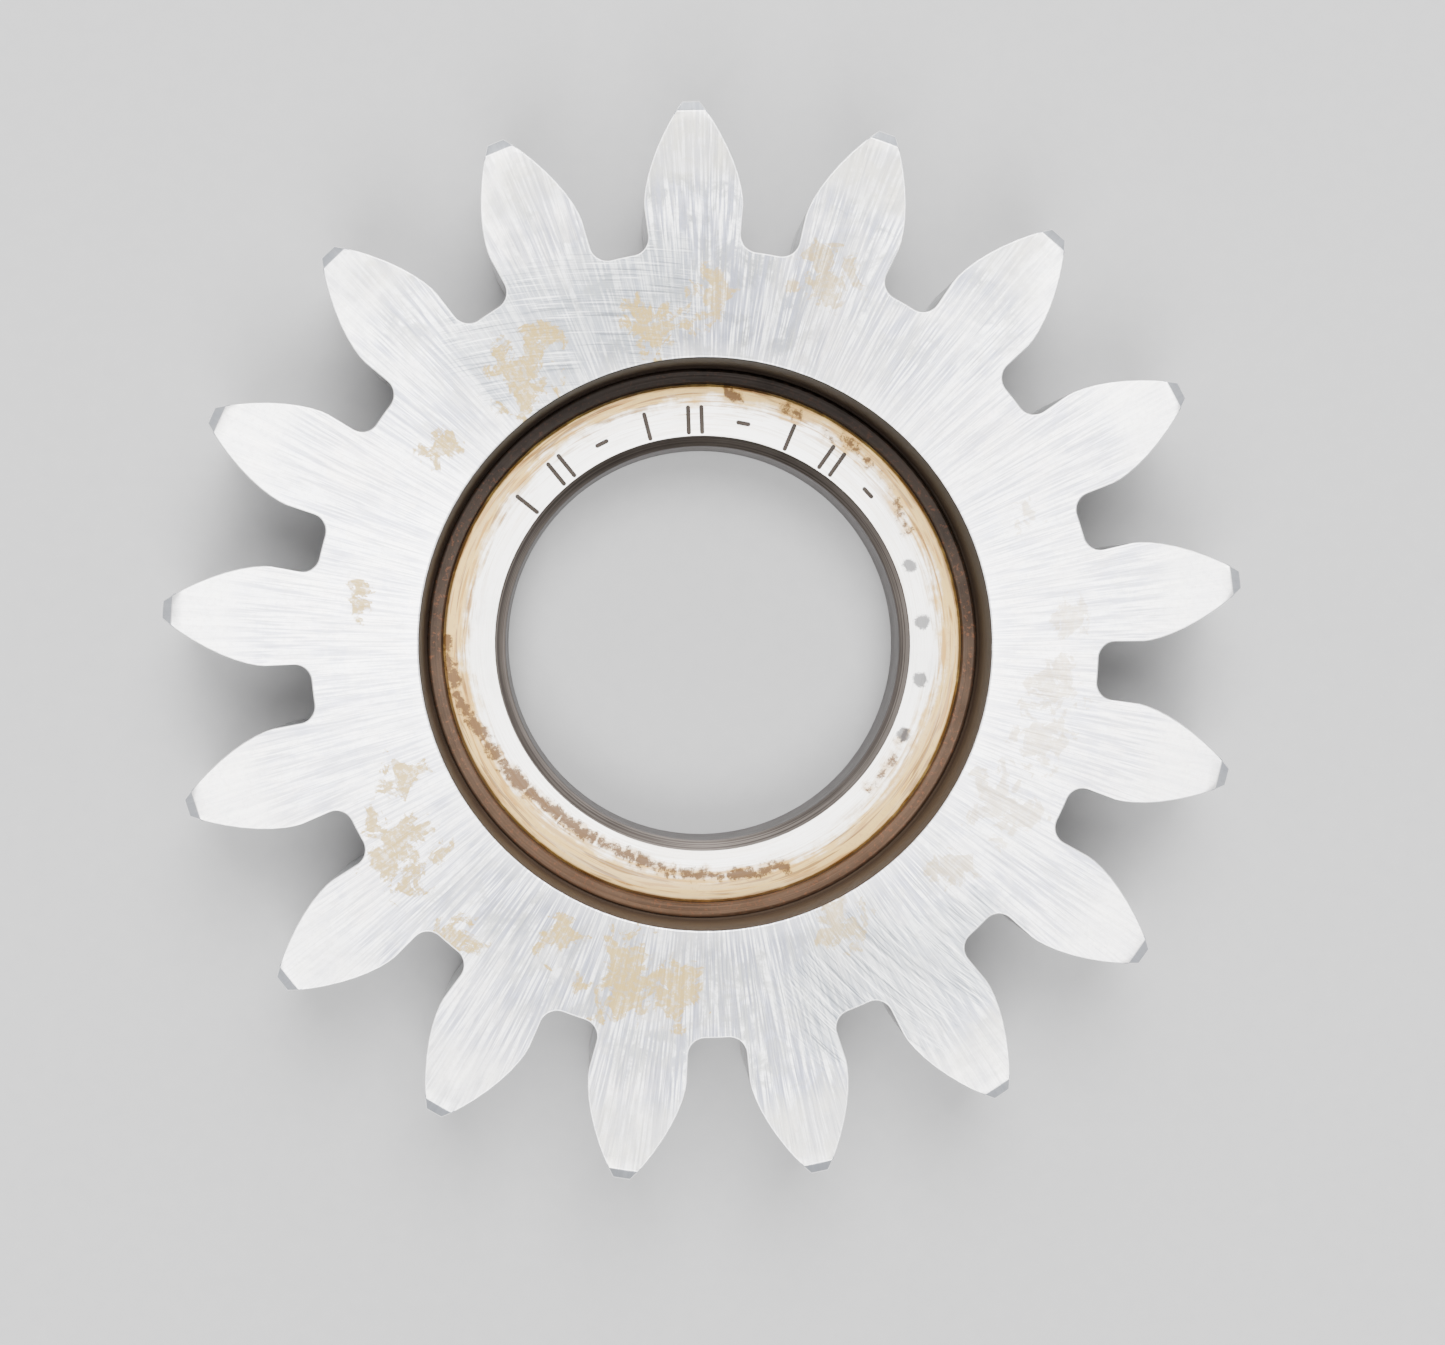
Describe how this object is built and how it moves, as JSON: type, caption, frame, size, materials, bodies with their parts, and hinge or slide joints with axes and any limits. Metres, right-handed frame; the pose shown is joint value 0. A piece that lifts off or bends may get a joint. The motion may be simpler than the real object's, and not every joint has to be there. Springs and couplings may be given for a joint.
{
  "type": "spur gear",
  "caption": "Idler spur gear with a plain bearing: toothed steel ring, pressed bush and hard inner ring with a smooth bore.",
  "frame": {"origin": "centre of the bore, half way along the inner ring", "axes": "+Z along the bore axis, towards the recessed front; one tooth points along +Y"},
  "size_m": [0.118, 0.1174, 0.0242],
  "materials": {
    "gear_steel": "ground",
    "bush_bronze": "turned, browned",
    "ring_steel": "ground"
  },
  "bodies": {
    "sleeve": {"inner_ring": "ring_steel"},
    "gear": {"toothed_ring": "gear_steel", "bearing_bush": "bush_bronze"}
  },
  "joints": [
    {"name": "gear_spin", "type": "hinge", "parent": "sleeve", "child": "gear", "pos_m": [0, 0, 0], "axis": [0, 0, 1], "continuous": true}
  ]
}
